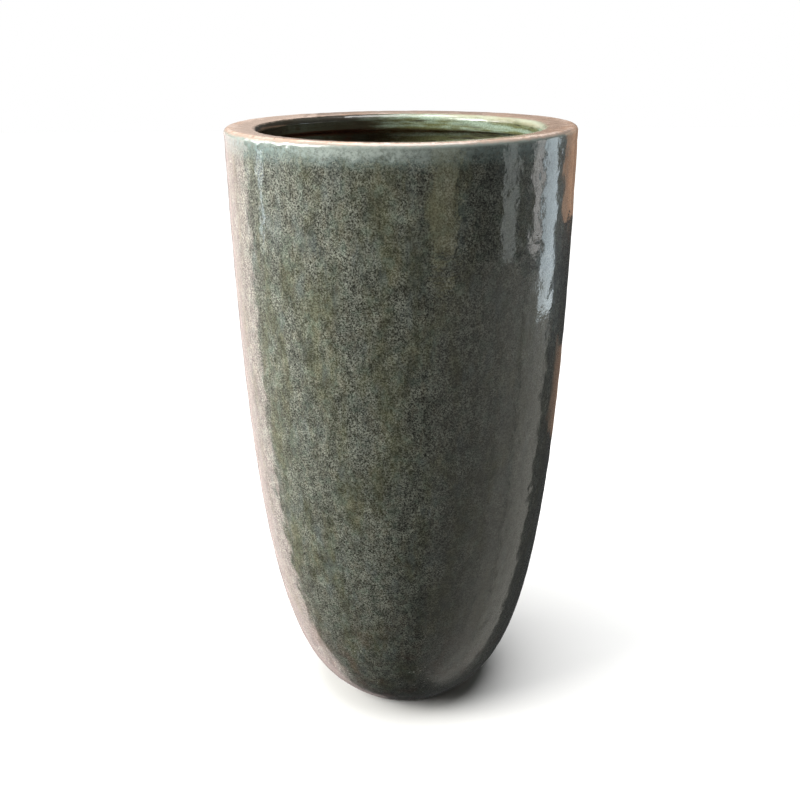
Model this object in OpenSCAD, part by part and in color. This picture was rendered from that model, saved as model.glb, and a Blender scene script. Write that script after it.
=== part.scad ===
// Tall bullet-shaped garden planter of fired clay with a glossy glaze.
// Millimetres, +Z up. The origin is the centre of the foot, on the floor.
// The clay is three pieces joined before firing: a base slab with a drain hole,
// the curved wall that stands on it, and the thick rim that overhangs inwards.
// Three skins of glaze lie on the clay and leave the foot and the deep inside bare.

/* [Overall size] */
// Height from the floor to the top of the rim
pot_h = 800; // [700:10:900]
// Outside diameter of the pot over the rim
rim_d = 432; // [400:4:480]
// Diameter of the flat foot on the floor
foot_d = 194; // [170:2:220]

/* [Side curve] */
// Height at which the straight upper wall starts to curve inwards
curve_top_z = 738; // [650:2:750]
// How far the upright start of the curve carries down the wall
upper_pull = 688; // [600:4:690]
// Angle from the floor at which the side leaves the foot
foot_angle = 51.5; // [45:0.5:60]
// How far the slope at the foot carries up the side
foot_pull = 56; // [40:2:80]

/* [Clay thickness] */
// Thickness of the wall in its straight upper part
wall_t = 20; // [16:1:24]
// Thickness of the base slab
base_t = 26; // [22:1:32]
// Radius of the planting space's flat bottom
inner_foot_r = 84; // [70:2:86]
// Angle at which the inside leaves the base slab
inner_foot_angle = 44; // [40:1:55]
// How far the slope at the base slab carries up the inside
inner_foot_pull = 60; // [40:2:80]

/* [Rim] */
// Width of the rim from its outer to its inner side
rim_w = 40; // [34:1:50]
// Height of the rim's overhang
rim_t = 21; // [16:1:30]
// Rounding of the rim's outer top edge
outer_edge_r = 6; // [3:0.5:8]
// Rounding of the rim's inner top edge
inner_edge_r = 7; // [3:0.5:9]
// Rounding of the rim's lower inner edge
under_edge_r = 4; // [2:0.5:6]

/* [Foot] */
// Diameter of the drain hole
drain_d = 30; // [20:2:40]
// Width of the ring that the pot stands on
foot_ring_w = 22; // [16:1:30]
// Depth of the hollow inside that ring
foot_hollow = 3; // [2:0.5:5]
// Bevel around the foot
foot_bevel = 2; // [1:0.5:4]

/* [Glaze] */
// Thickness of the glaze
glaze_t = 1; // [0.6:0.2:1.6]
// Height of the bare clay above the floor
bare_foot_h = 6; // [4:1:20]
// Depth to which the inside is glazed, below the top of the clay rim
inner_glaze_h = 95; // [60:5:200]

/* [Hidden] */
$fn = 96;

clay_r = rim_d / 2 - glaze_t;
clay_h = pot_h - glaze_t;
inner_r = clay_r - wall_t;
lip_r = clay_r - rim_w;
seam_z = clay_h - rim_t;
glaze_end_z = clay_h - inner_glaze_h;

curve_steps = 28;
edge_steps = 8;
search_steps = 30;

clay_color = "#a5694a";
slab_color = "#945b40";
glaze_color = "#4f5a50";
rim_color = "#c9a78d";
inner_color = "#6f7d57";

// The side of the clay and the planting space are each one cubic curve, as its four control points
outer_curve = side_curve([foot_d / 2, 0], foot_angle, foot_pull, clay_r, upper_pull);
inner_curve = side_curve([inner_foot_r, base_t], inner_foot_angle, inner_foot_pull, inner_r, upper_pull - base_t);

function side_curve(foot, angle, pull, top_r, top_pull) = [
    foot,
    foot + pull * [cos(angle), sin(angle)],
    [top_r, curve_top_z - top_pull],
    [top_r, curve_top_z]
];

function curve_point(c, t) =
    pow(1 - t, 3) * c[0] + 3 * pow(1 - t, 2) * t * c[1] + 3 * (1 - t) * t * t * c[2] + pow(t, 3) * c[3];

function curve_slope(c, t) =
    pow(1 - t, 2) * (c[1] - c[0]) + 2 * (1 - t) * t * (c[2] - c[1]) + t * t * (c[3] - c[2]);

// The point at t, moved out of the clay by e
function proud_point(c, t, e) =
    let (s = curve_slope(c, t))
    curve_point(c, t) + e * [s[1], -s[0]] / norm(s);

// The place along the curve, from 0 to 1, where it reaches height z
function curve_at(c, z, low = 0, high = 1, n = search_steps) =
    let (middle = (low + high) / 2)
    n == 0 ? middle
    : curve_point(c, middle)[1] < z ? curve_at(c, z, middle, high, n - 1)
    : curve_at(c, z, low, middle, n - 1);

function curve_run(c, t_from, t_to, e = 0) = [
    for (i = [0 : curve_steps]) proud_point(c, t_from + (t_to - t_from) * i / curve_steps, e)
];

function arc(centre, r, from, to) = [
    for (i = [0 : edge_steps])
        let (a = from + (to - from) * i / edge_steps)
        centre + r * [cos(a), sin(a)]
];

function reversed(points) = [for (i = [len(points) - 1 : -1 : 0]) points[i]];

// The rim's outer top edge, its inner top edge, and the inside below it, each e proud of the clay
function outer_edge(e) =
    arc([clay_r - outer_edge_r, clay_h - outer_edge_r], outer_edge_r + e, 0, 90);

function inner_edge(e) =
    arc([lip_r + inner_edge_r, clay_h - inner_edge_r], inner_edge_r + e, 90, 180);

function under_edge(e) =
    arc([lip_r + under_edge_r, seam_z + under_edge_r], under_edge_r + e, 180, 270);

function glazed_side(e) =
    concat(curve_run(outer_curve, curve_at(outer_curve, bare_foot_h), 1, e), outer_edge(e));

function glazed_inside(e) = concat(
    inner_edge(e),
    under_edge(e),
    [[inner_r - e, seam_z - e], [inner_r - e, glaze_end_z]]
);

module turned(points) {
    rotate_extrude() polygon(points);
}

// A skin between two outlines that run the same way
module skin(inside, outside) {
    turned(concat(inside, reversed(outside)));
}

module base_slab() {
    bevel_t = curve_at(outer_curve, foot_bevel);
    top_t = curve_at(outer_curve, base_t);
    bevel_r = curve_point(outer_curve, bevel_t)[0];
    color(slab_color)
    difference() {
        turned(concat(
            [[0, 0], [bevel_r - foot_bevel, 0]],
            curve_run(outer_curve, bevel_t, top_t),
            [[0, base_t]]
        ));
        cylinder(h = 2 * foot_hollow, r = foot_d / 2 - foot_ring_w, center = true);
        translate([0, 0, -base_t]) cylinder(h = 3 * base_t, d = drain_d);
    }
}

module wall() {
    color(clay_color)
    turned(concat(
        curve_run(outer_curve, curve_at(outer_curve, base_t), 1),
        [[clay_r, seam_z], [inner_r, seam_z]],
        reversed(curve_run(inner_curve, 0, 1))
    ));
}

module rim_ring() {
    color(clay_color)
    turned(concat([[clay_r, seam_z]], outer_edge(0), inner_edge(0), under_edge(0)));
}

module outer_glaze() {
    color(glaze_color)
    skin(glazed_side(0), glazed_side(glaze_t));
}

module rim_glaze() {
    color(rim_color)
    translate([0, 0, clay_h])
    difference() {
        cylinder(h = glaze_t, r = clay_r - outer_edge_r);
        translate([0, 0, -glaze_t]) cylinder(h = 3 * glaze_t, r = lip_r + inner_edge_r);
    }
}

module inner_glaze() {
    color(inner_color)
    skin(glazed_inside(0), glazed_inside(glaze_t));
}

base_slab();
wall();
rim_ring();
outer_glaze();
rim_glaze();
inner_glaze();
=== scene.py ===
"""Looks of the tall glazed planter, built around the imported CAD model. Metres, +Z up.

The whole pot is one turned outline: up the outside, over the rim and down the inside. Each piece
is a stretch of that outline turned into a closed solid, with the unevenness of hand-made clay and
the ripples of the glaze as real geometry. The materials are procedural.
"""

import math

import bpy
import numpy as np
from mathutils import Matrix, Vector


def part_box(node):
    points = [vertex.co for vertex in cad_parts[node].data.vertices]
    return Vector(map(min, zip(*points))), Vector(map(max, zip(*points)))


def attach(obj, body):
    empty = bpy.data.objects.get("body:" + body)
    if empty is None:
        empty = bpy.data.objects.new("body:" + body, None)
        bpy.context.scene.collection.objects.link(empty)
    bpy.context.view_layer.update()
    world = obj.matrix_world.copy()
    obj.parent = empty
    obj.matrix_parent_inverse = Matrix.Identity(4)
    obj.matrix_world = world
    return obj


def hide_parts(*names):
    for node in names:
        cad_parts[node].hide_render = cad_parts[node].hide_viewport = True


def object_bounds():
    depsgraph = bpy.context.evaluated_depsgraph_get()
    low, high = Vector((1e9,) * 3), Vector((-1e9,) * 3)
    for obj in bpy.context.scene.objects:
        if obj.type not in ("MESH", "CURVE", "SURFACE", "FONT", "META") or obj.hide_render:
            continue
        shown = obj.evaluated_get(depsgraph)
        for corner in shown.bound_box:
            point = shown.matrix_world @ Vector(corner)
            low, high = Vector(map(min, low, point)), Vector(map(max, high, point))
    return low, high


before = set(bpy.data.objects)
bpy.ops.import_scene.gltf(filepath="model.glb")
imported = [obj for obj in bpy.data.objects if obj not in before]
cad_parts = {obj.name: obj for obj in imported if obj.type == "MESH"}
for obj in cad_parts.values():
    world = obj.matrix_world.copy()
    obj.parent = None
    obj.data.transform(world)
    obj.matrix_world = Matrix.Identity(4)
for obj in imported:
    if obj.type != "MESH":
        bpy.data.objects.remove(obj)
CAD_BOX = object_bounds()
MM = 0.001
SAME_PLACE = 0.1 * MM

# ------------------------------------------------------------------- sizes, read from the frame


def rings(node):
    """A turned node's outline, as its distinct (radius, height) points, lowest first."""
    co = np.array([v.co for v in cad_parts[node].data.vertices])
    points = np.round(np.column_stack([np.hypot(co[:, 0], co[:, 1]), co[:, 2]]), 5)
    points = np.unique(points, axis=0)
    return points[np.argsort(points[:, 1], kind="stable")]


def tight_side(points):
    """Those of an outline's points that a string pulled tight round its outside would touch."""
    kept = []
    for p in points:
        while len(kept) > 1:
            a, b = kept[-2], kept[-1]
            if (b[0] - a[0]) * (p[1] - a[1]) - (b[1] - a[1]) * (p[0] - a[0]) > 0:
                break
            kept.pop()
        kept.append(p)
    return np.array(kept)


POT_H = CAD_BOX[1].z
RIM_R = CAD_BOX[1].x
GLAZE_T = POT_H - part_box("rim_glaze")[0].z
SEAM_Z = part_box("rim_ring")[0].z
SLAB_TOP_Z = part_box("base_slab")[1].z
INNER_GLAZE_END_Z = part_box("inner_glaze")[0].z
FLAT_INNER_R = rings("rim_glaze")[:, 0].min()
FLAT_OUTER_R = rings("rim_glaze")[:, 0].max()
LIP_R = rings("inner_glaze")[:, 0].min()
CAVITY_R = rings("inner_glaze")[:, 0].max()
DRAIN_R = rings("base_slab")[:, 0].min()

# --------------------------------------------------------------------------------- the outline


def arc(centre, radius, start, end, count):
    """Points on an arc in the (radius, height) plane, angles in degrees."""
    a = np.radians(np.linspace(start, end, count))
    return np.column_stack([centre[0] + radius * np.cos(a), centre[1] + radius * np.sin(a)])


def resample(points, spacing):
    """A smooth curve through the points, cut into steps of about that spacing."""
    points = np.asarray(points, float)
    padded = np.vstack([2 * points[0] - points[1], points, 2 * points[-1] - points[-2]])
    fine = []
    for a, b, c, d in zip(padded, padded[1:], padded[2:], padded[3:]):
        t = np.linspace(0, 1, 40, endpoint=False)[:, None]
        fine.append(0.5 * (2 * b + (c - a) * t + (2 * a - 5 * b + 4 * c - d) * t**2
                           + (3 * b - a - 3 * c + d) * t**3))
    fine = np.vstack(fine + [points[-1:]])
    length = np.concatenate([[0], np.cumsum(np.hypot(*np.diff(fine, axis=0).T))])
    at = np.linspace(0, length[-1], max(2, round(length[-1] / spacing) + 1))
    return np.column_stack([np.interp(at, length, fine[:, i]) for i in (0, 1)])


def joined(*stretches):
    """Stretches of outline end to end, with the shared ends kept once."""
    return np.vstack([stretches[0]] + [stretch[1:] for stretch in stretches[1:]])


def normals_of(points):
    """The unit normal at each point, on the right hand of the way the outline runs."""
    d = np.gradient(points, axis=0)
    n = np.column_stack([d[:, 1], -d[:, 0]])
    return n / np.hypot(*n.T)[:, None]


def length_along(points):
    return np.concatenate([[0], np.cumsum(np.hypot(*np.diff(points, axis=0).T))])


# The roundings of the rim's outer edge, of its lip, of the overhang's lower edge and of the
# corner under the overhang
EDGE_R = RIM_R - FLAT_OUTER_R
LIP_EDGE_R = FLAT_INNER_R - LIP_R
UNDER_R = 5 * MM
FILLET_R = 6 * MM

# The spacing of the outline's points on the side, on the rim and down the inside
SIDE_STEP = 4.5 * MM
RIM_STEP = 1.5 * MM
INSIDE_STEP = 2.5 * MM
EDGE_POINTS = 22
FILLET_POINTS = 12

side_points = tight_side(rings("outer_glaze"))
side_points = side_points[side_points[:, 1] < POT_H - EDGE_R * 1.01]
side_run = resample(side_points, SIDE_STEP)
edge_run = arc((FLAT_OUTER_R, POT_H - EDGE_R), EDGE_R, 0, 90, EDGE_POINTS)
side_run = joined(side_run, resample([side_run[-1], edge_run[0]], RIM_STEP), edge_run)
flat_run = resample([(FLAT_OUTER_R, POT_H), (FLAT_INNER_R, POT_H)], RIM_STEP)
lip_z = POT_H - LIP_EDGE_R
under_z = SEAM_Z - GLAZE_T
wall_r = CAVITY_R - GLAZE_T
inside_run = joined(
    arc((FLAT_INNER_R, lip_z), LIP_EDGE_R, 90, 180, EDGE_POINTS),
    resample([(LIP_R, lip_z), (LIP_R, under_z + UNDER_R)], RIM_STEP),
    arc((LIP_R + UNDER_R, under_z + UNDER_R), UNDER_R, 180, 270, FILLET_POINTS),
    resample([(LIP_R + UNDER_R, under_z), (wall_r - FILLET_R, under_z)], RIM_STEP),
    arc((wall_r - FILLET_R, under_z - FILLET_R), FILLET_R, 90, 0, FILLET_POINTS),
    resample([(wall_r, under_z - FILLET_R), (wall_r, INNER_GLAZE_END_Z)], INSIDE_STEP),
)

# The exposed outline in one piece, so that ripples run on from one glaze to the next
exposed = joined(side_run, flat_run, inside_run)
exposed_normals = normals_of(exposed)
exposed_length = length_along(exposed)
RIM_START = len(side_run) - 1
RIM_END = RIM_START + len(flat_run) - 1


def length_at(z):
    """The length along the exposed outline at which its outer side reaches height z."""
    return np.interp(z, side_run[:, 1], exposed_length[:len(side_run)])


# The clay wall's outer side, from the widest point of its level lower edge, and the planting
# space's side, which lies well inside it
wall_rings = rings("wall")
clay_side = tight_side(wall_rings)
lower_edge = clay_side[:, 1] < clay_side[0, 1] + SAME_PLACE
clay_side = clay_side[np.argmax(clay_side[:, 0] * lower_edge):]
inner_limit = np.interp(wall_rings[:, 1], clay_side[:, 1], clay_side[:, 0]) - 10 * MM
cavity_points = wall_rings[wall_rings[:, 0] < inner_limit]

# --------------------------------------------------------------------- unevenness of the surface


def waves(seed, count, round_from, round_to, up_from, up_to):
    """A smooth random field over (angle, length along the outline), about 1 in size, that
    closes on itself round the pot. Each wave has a whole number of crests round the pot,
    and up_from to up_to radians per metre along the outline."""
    rng = np.random.default_rng(seed)
    crests = rng.integers(round_from, round_to + 1, count)
    up = rng.uniform(up_from, up_to, count) * rng.choice([-1, 1], count)
    phase = rng.uniform(0, 2 * math.pi, count)

    def field(angle, length):
        total = np.zeros(np.broadcast(angle, length).shape)
        for m, k, p in zip(crests, up, phase):
            total += np.cos(m * angle + k * length + p)
        return total * math.sqrt(2 / count) / 2

    return field


def smoothstep(x, low, high):
    t = np.clip((x - low) / (high - low), 0, 1)
    return t * t * (3 - 2 * t)


def bump(x, centre, width):
    return np.exp(-(((x - centre) / width) ** 2))


# The hand-made clay's own unevenness, then the glaze's, then what happens only in places: the
# crease under the rim, dribbles of glaze on the front left of the rim, and pocks all over
dents = waves(11, 14, 1, 5, 3, 14)
lumps = waves(12, 40, 6, 30, 40, 150)
swirls = waves(17, 60, 20, 60, 60, 220)
throwing = waves(13, 26, 0, 3, 130, 420)
runs = waves(14, 26, 24, 80, 4, 30)
ripples = waves(15, 90, 40, 120, 150, 450)
crease_wander = waves(16, 8, 1, 9, 0, 1)
dribbles = waves(18, 24, 30, 90, 250, 650)
pocks = waves(19, 60, 36, 80, 110, 300)

# The glazed surface is set in by this, so that its highest places stay inside the CAD's box
SET_IN = 0.55 * MM

# DOWN is a length along the outline, down from the rim's top
CREASE_DOWN = 22 * MM
CREASE_WANDER = 1.2 * MM
CREASE_WIDTH = 3.5 * MM
CREASE_DEPTH = 0.30 * MM
POCK_DEPTH = 0.22 * MM
DRIBBLE_HEIGHT = 0.80 * MM
DRIBBLES_ANGLE = math.radians(226)
DRIBBLES_HALF_ANGLE = math.radians(14)
DRIBBLES_DOWN = 13 * MM
DRIBBLES_HALF_HEIGHT = 7 * MM
SIDE_LENGTH = exposed_length[RIM_START]


def uneven(angle, length):
    """How far the glazed surface stands in or out of its turned outline, in metres."""
    down = SIDE_LENGTH - length
    crease = bump(down, CREASE_DOWN + CREASE_WANDER * crease_wander(angle, 0), CREASE_WIDTH)
    return (
        -SET_IN
        + 0.30 * MM * dents(angle, length)
        + 0.15 * MM * lumps(angle, length)
        + 0.12 * MM * swirls(angle, length)
        + 0.045 * MM * throwing(angle, length)
        + 0.045 * MM * runs(angle, length)
        + 0.055 * MM * ripples(angle, length)
        - CREASE_DEPTH * crease
        - POCK_DEPTH * smoothstep(pocks(angle, length), 0.75, 1.3)
        + DRIBBLE_HEIGHT * dribbles(angle, length)
        * bump(down, DRIBBLES_DOWN, DRIBBLES_HALF_HEIGHT)
        * bump(angle - DRIBBLES_ANGLE, 0, DRIBBLES_HALF_ANGLE)
    )


RIM_SAG = 2 * MM
RIM_DISH = 3 * MM
LIP_TOP_Z = POT_H - RIM_DISH
SAG_FROM_Z = 0.6 * POT_H
DISH_FROM_Z = SEAM_Z - 40 * MM


def settle(co):
    """The hand-made rim: it sags a little at the back, and its top slopes down to the mouth."""
    sag = smoothstep(co[:, 2], SAG_FROM_Z, POT_H) * RIM_SAG
    co[:, 2] -= sag * np.clip(co[:, 1] / RIM_R, 0, 1) ** 2
    radius = np.hypot(co[:, 0], co[:, 1])
    inwards = np.clip((FLAT_OUTER_R - radius) / (FLAT_OUTER_R - LIP_R), 0, 1)
    co[:, 2] -= smoothstep(co[:, 2], DISH_FROM_Z, SEAM_Z) * inwards * RIM_DISH
    return co


# ------------------------------------------------------------------------------------- building

# Steps round the pot, and the angle in degrees from which an edge is sharp
GLAZE_STEPS = 336
CLAY_STEPS = 256
SHARP_ANGLE = 35

# Clay under the glaze keeps this far behind it, and its outline's points are further apart
HIDDEN_GAP = 0.3 * MM
HIDDEN_STEP = 14 * MM
SPARSE_BACK = 5
SPARSE_RIM = 3

# Bare clay: the spacing of its points, its own unevenness, and the rounding of its edges
CLAY_STEP = 4 * MM
SLAB_STEP = 3 * MM
FOOT_STEP = 2 * MM
BARE_SET_IN = 0.5 * MM
SLAB_SET_IN = 0.6 * MM
SLAB_ROUGH = 0.25 * MM
FOOT_LIFT = 0.2 * MM
CLAY_EDGE_R = 1.4 * MM


def turned(name, outline, offsets, steps):
    """A closed turned mesh. outline is a closed loop of (radius, height) points, offsets(angles)
    gives each point's push as an array (angles, points, 2)."""
    angles = np.linspace(0, 2 * math.pi, steps, endpoint=False)
    rz = outline[None, :, :] + offsets(angles)
    co = np.stack([rz[:, :, 0] * np.cos(angles)[:, None],
                   rz[:, :, 0] * np.sin(angles)[:, None], rz[:, :, 1]], axis=-1)
    n = len(outline)
    co = settle(co.reshape(-1, 3))
    i, j = np.meshgrid(np.arange(steps), np.arange(n), indexing="ij")
    i2, j2 = (i + 1) % steps, (j + 1) % n
    faces = np.stack([i * n + j, i2 * n + j, i2 * n + j2, i * n + j2], axis=-1).reshape(-1, 4)
    mesh = bpy.data.meshes.new(name)
    mesh.from_pydata(co.tolist(), [], faces.tolist())
    mesh.polygons.foreach_set("use_smooth", [True] * len(mesh.polygons))
    mesh.set_sharp_from_angle(angle=math.radians(SHARP_ANGLE))
    mesh.update()
    piece = bpy.data.objects.new(name, mesh)
    bpy.context.scene.collection.objects.link(piece)
    return piece


def skin(name, start, end):
    """The glaze over one stretch of the exposed outline, as a closed skin. Its hidden back has
    fewer points than its front."""
    outer = exposed[start:end + 1]
    normals = exposed_normals[start:end + 1]
    length = exposed_length[start:end + 1]
    back = np.unique(np.append(np.arange(0, len(outer), SPARSE_BACK), len(outer) - 1))[::-1]
    outline = np.vstack([outer, (outer - GLAZE_T * normals)[back]])
    all_normals = np.vstack([normals, normals[back]])
    all_length = np.concatenate([length, length[back]])

    def offsets(angles):
        return uneven(angles[:, None], all_length[None, :])[:, :, None] * all_normals[None]

    return turned(name, outline, offsets, GLAZE_STEPS)


def dress(piece, material, slot, *nodes):
    """Gives a piece its material and its place on the pot."""
    piece.data.materials.append(material)
    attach(piece, "root")
    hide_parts(*nodes)


def clay_wall(name):
    """The clay wall: its hidden outside under the glaze, and its bare thrown inside."""
    outside = resample(clay_side[clay_side[:, 1] <= SEAM_Z], HIDDEN_STEP)
    inside = resample(cavity_points, CLAY_STEP)[::-1]
    outline = np.vstack([outside, inside])
    normals = np.vstack([normals_of(outside), normals_of(inside)])
    outer_length = length_at(outside[:, 1])[None]
    inner_length = length_along(inside)[None]

    def offsets(angles):
        a = angles[:, None]
        hidden = uneven(a, outer_length) - HIDDEN_GAP
        bare = (
            -BARE_SET_IN
            + 0.35 * MM * throwing(a, inner_length)
            + 0.5 * MM * dents(a, inner_length)
            + 0.12 * MM * lumps(a, inner_length)
        )
        return np.hstack([hidden, bare])[:, :, None] * normals[None]

    return turned(name, outline, offsets, CLAY_STEPS)


def clay_rim(name):
    """The clay of the rim, which is all under the glaze."""
    first = np.searchsorted(side_run[:, 1], SEAM_Z)
    last = RIM_END + np.argmin(np.abs(exposed[RIM_END:, 1] - SEAM_Z))
    picked = np.unique(np.append(np.arange(first, last, SPARSE_RIM), last))
    normals = exposed_normals[picked]
    outline = exposed[picked] - (GLAZE_T + HIDDEN_GAP) * normals
    length = exposed_length[picked]

    def offsets(angles):
        return uneven(angles[:, None], length[None])[:, :, None] * normals[None]

    return turned(name, outline, offsets, CLAY_STEPS)


def clay_base(name):
    """The base slab: the drain hole, the hollow underneath, the foot ring and the bare foot."""
    slab = rings("base_slab")
    foot_r = slab[slab[:, 1] < SAME_PLACE, 0]
    hollow_z = slab[np.abs(slab[:, 0] - DRAIN_R) < SAME_PLACE, 1].min()
    side = tight_side(slab[slab[:, 0] > foot_r.max() - MM])
    r = CLAY_EDGE_R
    outline = joined(
        arc((DRAIN_R + r, SLAB_TOP_Z - r), r, 90, 180, 5),
        resample([(DRAIN_R, SLAB_TOP_Z - r), (DRAIN_R, hollow_z + r)], SLAB_STEP),
        arc((DRAIN_R + r, hollow_z + r), r, 180, 270, 5),
        resample([(DRAIN_R + r, hollow_z), (foot_r.min() - r, hollow_z)], CLAY_STEP),
        arc((foot_r.min() - r, hollow_z - r), r, 90, 0, 4),
        arc((foot_r.min() + r, r), r, 180, 270, 5),
        resample([(foot_r.min() + r, 0), (foot_r.max() - r, 0)], SLAB_STEP),
        resample(side, FOOT_STEP),
        resample([side[-1], (DRAIN_R + r, SLAB_TOP_Z)], CLAY_STEP),
    )
    normals = normals_of(outline)
    length = length_along(outline)
    stands = outline[:, 1] <= 0.5 * MM

    def offsets(angles):
        a = angles[:, None]
        rough = lumps(a, length[None]) + throwing(a, length[None])
        push = SLAB_ROUGH * rough - SLAB_SET_IN
        push[:, stands] = -FOOT_LIFT
        return push[:, :, None] * normals[None]

    return turned(name, outline, offsets, CLAY_STEPS)


# ------------------------------------------------------------------------------------ materials


def add(tree, kind, inputs=None, **settings):
    """One shader node. inputs are values or other nodes' outputs, by socket name or number."""
    made = tree.nodes.new("ShaderNode" + kind)
    for key, value in settings.items():
        setattr(made, key, value)
    for key, value in (inputs or {}).items():
        if isinstance(value, bpy.types.NodeSocket):
            tree.links.new(value, made.inputs[key])
        else:
            made.inputs[key].default_value = value
    return made


def colour(code):
    """A hex colour as linear red, green, blue, alpha."""
    parts = [int(code[i:i + 2], 16) / 255 for i in (0, 2, 4)]
    return tuple(((c + 0.055) / 1.055) ** 2.4 if c > 0.04045 else c / 12.92 for c in parts) + (1,)


def start_material(name):
    material = bpy.data.materials.new(name)
    material.use_nodes = True
    tree = material.node_tree
    place = add(tree, "TexCoord").outputs["Object"]
    return material, tree, tree.nodes["Principled BSDF"], place


def noise(tree, place, size, detail=2.0, roughness=0.5):
    """Noise with features of about that size in metres, around 0.5."""
    return add(tree, "TexNoise", {"Vector": place, "Scale": 1 / size, "Detail": detail,
                                  "Roughness": roughness}).outputs[0]


def stretched(tree, place, x, y, z):
    """The place with its axes scaled, so that a pattern made from it is stretched where they are
    under 1 and squeezed where they are over 1."""
    return add(tree, "Mapping", {"Vector": place, "Scale": (x, y, z)}).outputs[0]


def spread(tree, value, low, high, to_low=0.0, to_high=1.0):
    """Maps low..high smoothly to to_low..to_high."""
    return add(tree, "MapRange", {"Value": value, "From Min": low, "From Max": high,
                                  "To Min": to_low, "To Max": to_high},
               interpolation_type="SMOOTHSTEP").outputs["Result"]


def maths(tree, operation, a, b):
    return add(tree, "Math", {0: a, 1: b}, operation=operation).outputs[0]


def plus(tree, a, b):
    return maths(tree, "ADD", a, b)


def times(tree, a, b):
    return maths(tree, "MULTIPLY", a, b)


def blend(tree, share, under, over, mode="MIX"):
    """Lays the colour over on the colour under, by share."""
    made = add(tree, "Mix", {"Factor": share, 6: under, 7: over}, data_type="RGBA", blend_type=mode)
    return made.outputs[2]


def off_centre(tree, value, by):
    """Turns noise around 0.5 into a length of up to about by, in or out."""
    return times(tree, maths(tree, "SUBTRACT", value, 0.5), by)


def height_of(tree, place):
    return add(tree, "SeparateXYZ", {0: place}).outputs["Z"]


def across_of(tree, place):
    """How far to the right of the pot's axis."""
    return add(tree, "SeparateXYZ", {0: place}).outputs["X"]


GLAZE_DARK = colour("23241d")
GLAZE_PALE = colour("7f8277")
GLAZE_OLIVE = colour("52533a")
GLAZE_BLUE = colour("66706f")
GLAZE_TEAL = colour("606e62")
GLAZE_TAN = colour("6c6553")
RIM_TEAL = colour("7f928e")
RIM_WHITE_AND_HIGHLIGHT = colour("969e96")
RIM_CLOUD_AND_HIGHLIGHT = colour("bcc5bd")
RIM_PINK = colour("e8d2c4")
RIM_EDGE = colour("b09c8e")
RIM_TAN = colour("cba991")
RUST = colour("5c3f2f")
SPECK_WHITE = colour("c9c8bd")
PIT_DARK = colour("15150f")
INSIDE_OLIVE = colour("747a52")
INSIDE_TEAL = colour("a3b8a2")
INSIDE_BROWN_AND_SHADE = colour("2c211c")
INSIDE_CREAM_AND_HIGHLIGHT = colour("c9c6ae")
CLAY_MAIN = colour("a5694a")
CLAY_DARK = colour("7c4c35")
CLAY_PALE = colour("d9b08c")
FOOT_MAIN = colour("51443a")
FOOT_DARK = colour("2f2823")
FOOT_PALE = colour("7d6d5f")

GRAIN_CELL = 1.3 * MM
GRAIN_DRIFT = 1.9 * MM


def grain(tree, place):
    """The salt and pepper of the glaze, 0 to 1."""
    cells = add(tree, "TexVoronoi", {"Vector": place, "Scale": 1 / GRAIN_CELL}).outputs["Color"]
    fine = noise(tree, place, GRAIN_DRIFT, 2.0, 0.6)
    return spread(tree, plus(tree, times(tree, cells, 0.5), fine), 0.46, 1.04)


def dots(tree, place, apart, radius):
    """1 inside small round dots about that far apart, in metres, and 0 elsewhere."""
    distance = add(tree, "TexVoronoi", {"Vector": place, "Scale": 1 / apart}).outputs["Distance"]
    return spread(tree, distance, 0.5 * radius / apart, radius / apart, 1, 0)


def tinted(tree, place, base, tint, size, low, high, most):
    """The base with a tint in soft patches of about that size, where their noise is over low."""
    patches = spread(tree, noise(tree, place, size, 3.0, 0.6), low, high, 0, most)
    return blend(tree, patches, base, tint)


def body_colour(tree, place):
    """Dark glaze full of pale grain, drifting between olive, blue-grey, teal and tan, with a few
    white specks and dark pits, and rusty low down."""
    share = grain(tree, place)
    falling = stretched(tree, place, 1, 1, 0.3)
    drifting = stretched(tree, place, 1.3, 1.3, 0.5)
    base = blend(tree, share, GLAZE_DARK, GLAZE_PALE)
    base = tinted(tree, falling, base, GLAZE_OLIVE, 34 * MM, 0.46, 0.68, 0.58)
    base = tinted(tree, drifting, base, GLAZE_BLUE, 26 * MM, 0.52, 0.72, 0.4)
    base = tinted(tree, place, base, GLAZE_TEAL, 14 * MM, 0.5, 0.66, 0.34)
    base = tinted(tree, drifting, base, GLAZE_TAN, 12 * MM, 0.5, 0.66, 0.22)

    z = height_of(tree, place)
    patches = spread(tree, noise(tree, place, 60 * MM), 0.48, 0.6)
    low_down = spread(tree, z, 60 * MM, 190 * MM, 1, 0.12)
    specks = times(tree, times(tree, dots(tree, place, 7 * MM, 1.5 * MM), patches), low_down)
    base = blend(tree, specks, base, SPECK_WHITE)
    pits = dots(tree, place, 46 * MM, 2.4 * MM)
    base = blend(tree, times(tree, pits, 0.85), base, PIT_DARK)
    rusty = noise(tree, stretched(tree, place, 1, 1, 0.6), 30 * MM, 3.0)
    rusty = spread(tree, rusty, 0.46, 0.66, 0, 0.5)
    foot = spread(tree, z, 40 * MM, 260 * MM, 1, 0)
    base = blend(tree, times(tree, rusty, foot), base, RUST)

    tone = noise(tree, place, 55 * MM, 4.0, 0.6)
    cloud = noise(tree, stretched(tree, place, 1, 1, 0.7), 11 * MM, 4.0, 0.7)
    shade = times(tree, spread(tree, tone, 0.3, 0.7, 0.85, 1.15),
                  spread(tree, cloud, 0.3, 0.7, 0.64, 1.40))
    shade = times(tree, shade, spread(tree, share, 0, 1, 0.82, 1.18))
    grey = add(tree, "CombineColor", {0: shade, 1: shade, 2: shade}).outputs[0]
    return blend(tree, 1.0, base, grey, "MULTIPLY")


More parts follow.
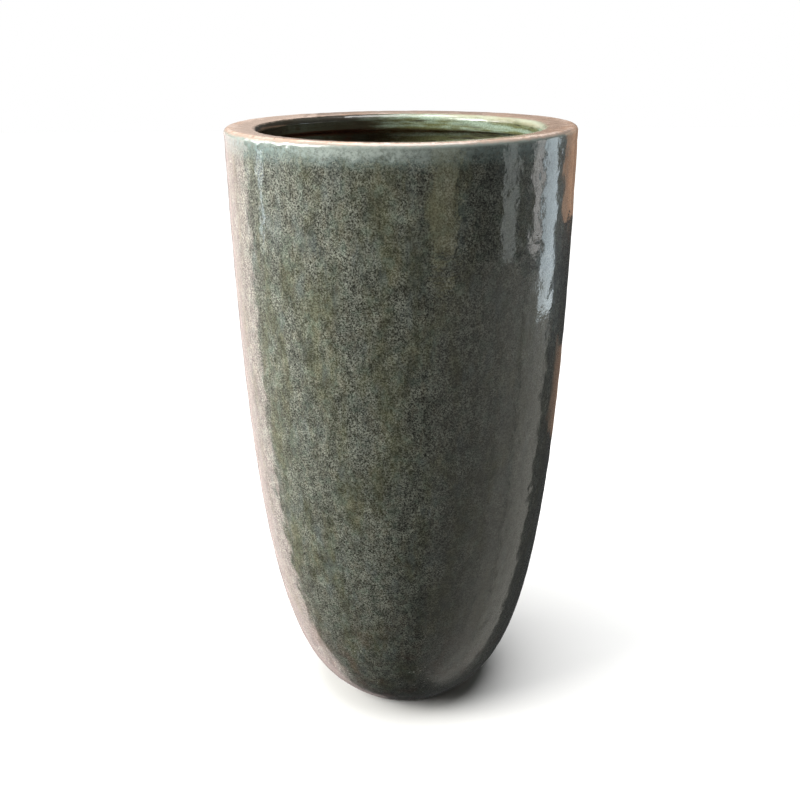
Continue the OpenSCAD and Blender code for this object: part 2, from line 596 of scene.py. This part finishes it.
def rim_colour(tree, place):
    """Where the glaze ran off the rim: pinkish, with tan and a few brown marks."""
    patches = spread(tree, noise(tree, place, 40 * MM, 4.0, 0.65), 0.4, 0.62)
    base = blend(tree, patches, RIM_PINK, RIM_TAN)
    marks = spread(tree, noise(tree, place, 5 * MM, 3.0, 0.7), 0.58, 0.7, 0, 0.75)
    return blend(tree, marks, base, RUST)


def inside_colour(tree, place):
    """Olive, teal and brown running round the inside in soft bands, with painted shade in dark
    brown over the left side, and cream on the lip to the right, partly the glaze's own and partly a
    painted highlight."""
    banded = stretched(tree, place, 1, 1, 9)
    bands = noise(tree, banded, 70 * MM, 4.0, 0.6)
    base = blend(tree, spread(tree, bands, 0.42, 0.6), INSIDE_OLIVE, INSIDE_TEAL)
    brown = spread(tree, noise(tree, banded, 45 * MM, 3.0, 0.6), 0.54, 0.7, 0, 0.8)
    across = across_of(tree, place)
    # Painted shade: the left side of the inside is darkened to brown, where the light from the left
    # leaves the inner wall in shade.
    ragged = plus(tree, across, off_centre(tree, bands, 100 * MM))
    painted_shade_left = spread(tree, ragged, -70 * MM, 50 * MM, 0.93, 0)
    base = blend(tree, maths(tree, "MAXIMUM", brown, painted_shade_left), base, INSIDE_BROWN_AND_SHADE)
    base = blend(tree, spread(tree, grain(tree, place), 0, 1, 0, 0.35), base, GLAZE_DARK)

    lip = off_centre(tree, noise(tree, place, 14 * MM, 3.0), 8 * MM)
    lip = plus(tree, height_of(tree, place), lip)
    lip = spread(tree, lip, LIP_TOP_Z - 10 * MM, LIP_TOP_Z - 2 * MM)
    # Cream on the lip, stronger to the right: partly the glaze breaking pale at the lip, partly a
    # painted highlight where the lip catches the light from the left.
    lip_cream_and_highlight = times(tree, lip, spread(tree, across, 0, 100 * MM, 0, 0.6))
    return blend(tree, lip_cream_and_highlight, base, INSIDE_CREAM_AND_HIGHLIGHT)


def bumped(tree, height, strength):
    made = add(tree, "Bump", {"Height": height, "Strength": strength, "Distance": 0.5 * MM})
    return made.outputs[0]


def glaze_bump(tree, place):
    """The orange peel of the glaze, with a finer grain in it."""
    fine = noise(tree, place, 3.0 * MM, 2.0, 0.6)
    peel = noise(tree, place, 9 * MM)
    return bumped(tree, plus(tree, times(tree, fine, 0.25), peel), 0.6)


def run_off(tree, place, z, base):
    """How the outer glaze changes towards the rim: a ragged veil of pale teal, and white clouds in
    it towards the front left, partly a paler glaze and partly a painted highlight on the side the
    light comes from."""
    ragged = plus(tree, z, off_centre(tree, noise(tree, place, 15 * MM, 5.0, 0.7), 26 * MM))
    patchy = spread(tree, noise(tree, place, 5 * MM, 4.0, 0.75), 0.38, 0.62, 0.35, 1)
    veil = spread(tree, ragged, POT_H - 33 * MM, POT_H - 8 * MM, 0, 0.95)
    base = blend(tree, times(tree, veil, patchy), base, RIM_TEAL)
    # Partly painted highlight: white clouds in the veil, strongest a little left of the middle,
    # fading towards the left edge and more gently to the right.
    across = across_of(tree, place)
    front = times(tree, spread(tree, across, -160 * MM, -50 * MM),
                  spread(tree, across, 0, 110 * MM, 1, 0.2))
    clouds_and_highlight = spread(tree, ragged, POT_H - 22 * MM, POT_H - 12 * MM, 0, 0.8)
    base = blend(tree, times(tree, clouds_and_highlight, times(tree, front, patchy)), base, RIM_CLOUD_AND_HIGHLIGHT)
    return base


def glaze(name, main_colour, outer=False):
    """A glossy glaze over a duller one, which breaks to a tan line and then to the rim's own colour
    on the rim's edge. The outer one changes on the way up to it, too, with a white line under the
    edge that is partly pale glaze and partly a painted highlight."""
    material, tree, shader, place = start_material(name)
    z = height_of(tree, place)
    base = main_colour(tree, place)
    near = off_centre(tree, noise(tree, place, 6 * MM, 3.0, 0.6), 4 * MM)
    near = plus(tree, z, near)
    if outer:
        base = run_off(tree, place, z, base)
        # A white line under the rim's edge: partly pale glaze, partly a painted highlight on the
        # rounding.
        white_line_and_highlight = spread(tree, near, POT_H - 10 * MM, POT_H - 5 * MM, 0, 0.7)
        base = blend(tree, white_line_and_highlight, base, RIM_WHITE_AND_HIGHLIGHT)
    base = blend(tree, spread(tree, near, POT_H - 5 * MM, POT_H - 2 * MM), base, RIM_EDGE)
    on_rim = spread(tree, near, POT_H - 2 * MM, POT_H - 0.5 * MM)
    base = blend(tree, on_rim, base, rim_colour(tree, place))
    tree.links.new(base, shader.inputs["Base Color"])

    dull = spread(tree, noise(tree, place, 30 * MM, 3.0), 0.3, 0.7, 0.38, 0.5)
    tree.links.new(dull, shader.inputs["Roughness"])
    normal = glaze_bump(tree, place)
    tree.links.new(normal, shader.inputs["Normal"])
    tree.links.new(normal, shader.inputs["Coat Normal"])
    shader.inputs["Specular IOR Level"].default_value = 0.2
    shader.inputs["Coat Weight"].default_value = 1.0
    duller_foot = spread(tree, z, 40 * MM, 210 * MM, 0.26, 0.05)
    tree.links.new(duller_foot, shader.inputs["Coat Roughness"])
    return material


def clay(name, main, dark, pale):
    """Bare fired clay: sandy, with darker smears and pale grains."""
    material, tree, shader, place = start_material(name)
    smears = noise(tree, stretched(tree, place, 1, 1, 3), 30 * MM, 4.0, 0.6)
    base = blend(tree, spread(tree, smears, 0.35, 0.65), main, dark)
    sand = noise(tree, place, 1.6 * MM, 3.0, 0.7)
    base = blend(tree, spread(tree, sand, 0.55, 0.75, 0, 0.4), base, pale)
    tree.links.new(base, shader.inputs["Base Color"])
    tree.links.new(spread(tree, sand, 0.3, 0.7, 0.7, 0.9), shader.inputs["Roughness"])
    tree.links.new(bumped(tree, sand, 0.7), shader.inputs["Normal"])
    return material


# --------------------------------------------------------------------------------------- pieces

clay_material = clay("fired_clay", CLAY_MAIN, CLAY_DARK, CLAY_PALE)
foot_material = clay("foot_clay", FOOT_MAIN, FOOT_DARK, FOOT_PALE)
body_glaze = glaze("body_glaze", body_colour, outer=True)
rim_top_glaze = glaze("rim_top_glaze", rim_colour)
inside_glaze = glaze("inside_glaze", inside_colour)

outer_glaze_skin = skin("outer_glaze_skin", 0, RIM_START)
rim_glaze_skin = skin("rim_glaze_skin", RIM_START, RIM_END)
inner_glaze_skin = skin("inner_glaze_skin", RIM_END, len(exposed) - 1)

dress(outer_glaze_skin, body_glaze, "dark_glaze", "outer_glaze")
dress(rim_glaze_skin, rim_top_glaze, "rim_glaze", "rim_glaze")
dress(inner_glaze_skin, inside_glaze, "inner_glaze", "inner_glaze")
dress(clay_wall("clay_wall"), clay_material, "clay", "wall")
dress(clay_rim("clay_rim"), clay_material, "clay", "rim_ring")
dress(clay_base("clay_base"), foot_material, "clay", "base_slab")

# --------------------------------------------------------------------------------- stage, light

FLOOR_HALF = 8.0
FLOOR_COLOUR = (0.86, 0.86, 0.85, 1)
WHITE = (1.0, 1.0, 1.0)
WARM = (1.0, 0.985, 0.95)
GLOW = (1.0, 0.81, 0.77)
PEACH = (1.0, 0.78, 0.65)
BLUISH = (0.80, 0.93, 1.0)
PINKISH = (1.0, 0.97, 0.95)
GREENISH = (0.93, 1.0, 0.97)
OLIVE = (1.0, 0.95, 0.55)
BROWN = (1.0, 0.57, 0.34)
GROUND = (1.0, 0.97, 0.87)
WORLD_DIM = (0.050, 0.052, 0.053, 1)
WORLD_SEEN = (1, 1, 1, 1)


def floor():
    """A plain pale floor, which the pot neither mirrors nor takes light from."""
    s = FLOOR_HALF
    mesh = bpy.data.meshes.new("floor")
    mesh.from_pydata([(-s, -s, 0), (s, -s, 0), (s, s, 0), (-s, s, 0)], [], [(0, 1, 2, 3)])
    piece = bpy.data.objects.new("floor", mesh)
    bpy.context.scene.collection.objects.link(piece)
    material = bpy.data.materials.new("floor")
    material.use_nodes = True
    shader = material.node_tree.nodes["Principled BSDF"]
    shader.inputs["Base Color"].default_value = FLOOR_COLOUR
    shader.inputs["Roughness"].default_value = 0.9
    shader.inputs["Specular IOR Level"].default_value = 0.0
    mesh.materials.append(material)
    piece.visible_glossy = False
    piece.visible_diffuse = False


def around(azimuth, distance, z):
    """A place round the pot; azimuth 0 is the camera's side and 90 is the right."""
    a = math.radians(azimuth)
    return (distance * math.sin(a), -distance * math.cos(a), z)


def light_at(name, kind, place, direction, tint):
    """A light at place that shines along direction."""
    data = bpy.data.lights.new(name, kind)
    data.color = tint
    light = bpy.data.objects.new(name, data)
    light.location = place
    light.rotation_euler = Vector(direction).to_track_quat("-Z", "Y").to_euler()
    bpy.context.scene.collection.objects.link(light)
    return light


def sun(name, elevation, strength, spread_angle, tint):
    """A broad soft light from far away, so that the floor is evenly bright to the horizon."""
    a = math.radians(elevation)
    towards = Vector(around(0, math.cos(a), math.sin(a)))
    light = light_at(name, "SUN", (0, 0, 0), -towards, tint)
    light.data.energy = strength
    light.data.angle = math.radians(spread_angle)


def area_light(name, place, target, size, power, tint):
    """A soft box at place that faces target."""
    light = light_at(name, "AREA", place, Vector(target) - Vector(place), tint)
    light.data.shape = "RECTANGLE"
    light.data.size, light.data.size_y = size
    light.data.energy = power
    light.visible_camera = False
    return light


def card(name, azimuth, distance, low, high, width, radiance, tint, lean):
    """An upright card round the pot, which shows only as a reflection in the glaze. Its ends are
    heights above the floor, its brightness is a radiance, and lean tips it sideways."""
    height = high - low
    middle = (low + high) / 2
    power = radiance * math.pi * width * height
    place = around(azimuth, distance, middle)
    light = area_light(name, place, (0, 0, middle), (width, height), power, tint)
    light.visible_diffuse = False
    light.rotation_euler.rotate_axis("Z", math.radians(lean))


floor()
sun("overhead", 90, 4.0, 50, WHITE)
area_light("key_side", around(-92, 2.3, 1.5), (0, 0, 0.4), (2.0, 1.3), 27, WARM)
area_light("key_front", around(-66, 2.5, 1.85), (0, 0, 0.4), (1.5, 1.5), 96, WARM)
bounce = area_light("bounce", around(-86, 1.5, 0.1), (0, 0, 0.15), (1.2, 0.6), 26, WARM)
bounce.visible_glossy = False

# What the glaze mirrors: the bright band down the left edge, glints on the rim, the pale strips
# and the brown on the right, and the pale ground low down
CARDS = (
    # name, azimuth, distance, low end, high end, width, radiance, tint, lean
    ("left_thin", -94, 1.5, 0.36, 0.8, 0.07, 4.6, BLUISH, -3),
    ("left_glow_a", -117, 1.5, -2.6, 0.8, 0.40, 1.85, GLOW, 0),
    ("left_glow_b", -131, 1.5, -2.6, 0.8, 0.30, 1.55, GLOW, 0),
    ("left_glow_c", -144, 1.5, -2.6, 0.8, 0.38, 1.25, GLOW, 0),
    ("left_glow_d", -162, 1.5, -2.6, 0.8, 0.60, 0.56, GLOW, 0),
    ("left_sky", -93, 1.5, 0.82, 1.3, 0.26, 7, WHITE, 0),
    ("front_sky", -74, 1.5, 0.96, 1.44, 0.36, 9, WHITE, 0),
    ("left_high", -150, 1.5, 0.8, 1.3, 1.2, 0.5, PEACH, 0),
    ("right_strip", 98.5, 0.8, 0.385, 0.9, 0.21, 3.0, BLUISH, 3.5),
    ("right_strip_thin", 84.5, 0.8, 0.52, 0.9, 0.11, 2.4, PINKISH, 3.5),
    ("right_strip_dim", 63, 0.8, 0.515, 0.9, 0.13, 1.6, GREENISH, 3),
    ("front_olive", 25, 1.5, 0.34, 0.8, 0.42, 0.8, OLIVE, 3),
    ("right_edge_a", 130.5, 1.2, 0.48, 1.1, 0.42, 0.75, BROWN, 0),
    ("right_edge_b", 146, 1.2, 0.48, 1.1, 0.26, 0.4, BROWN, 0),
    ("right_edge_c", 161, 1.2, 0.48, 1.1, 0.40, 0.2, BROWN, 0),
    ("right_edge_low", 148, 1.2, -0.12, 0.14, 0.8, 0.2, BROWN, 0),
    ("ground_a", 28, 1.6, -6, 0.28, 0.50, 0.22, GROUND, 0),
    ("ground_b", 44, 1.6, -6, 0.30, 0.42, 0.30, GROUND, 0),
    ("ground_c", 59, 1.6, -6, 0.32, 0.42, 0.42, GROUND, 0),
    ("ground_d", 75, 1.6, -6, 0.30, 0.46, 0.55, GROUND, 0),
    ("ground_e", 99, 1.6, -6, 0.27, 0.80, 0.60, GROUND, 0),
)
for row in CARDS:
    card(*row)

# The world is white behind the pot, and dim in what it lights and in what the glaze mirrors
world = bpy.data.worlds.new("studio")
bpy.context.scene.world = world
world.use_nodes = True
seen = add(world.node_tree, "LightPath").outputs["Is Camera Ray"]
shown = blend(world.node_tree, seen, WORLD_DIM, WORLD_SEEN)
world.node_tree.links.new(shown, world.node_tree.nodes["Background"].inputs["Color"])

bpy.context.scene.view_settings.view_transform = "Standard"

# --------------------------------------------------------------------------------------- camera

# In metres and degrees; the focal length is a share of the sensor's width
CAMERA_BACK = 5.5 * RIM_R
CAMERA_UP = POT_H + 0.497 * RIM_R
CAMERA_ASIDE = -3.5 * MM
CAMERA_PITCH = 21.8
CAMERA_ROLL = 0.45
FOCAL_SHARE = 1.16
SENSOR_WIDTH = 36

data = bpy.data.cameras.new("camera")
data.sensor_width = SENSOR_WIDTH
data.lens = FOCAL_SHARE * SENSOR_WIDTH
camera = bpy.data.objects.new("camera", data)
camera.location = (CAMERA_ASIDE, -CAMERA_BACK, CAMERA_UP)
camera.rotation_mode = "XYZ"
camera.rotation_euler = (math.radians(90 - CAMERA_PITCH), 0, 0)
camera.rotation_euler.rotate_axis("Z", math.radians(-CAMERA_ROLL))
bpy.context.scene.collection.objects.link(camera)
bpy.context.scene.camera = camera
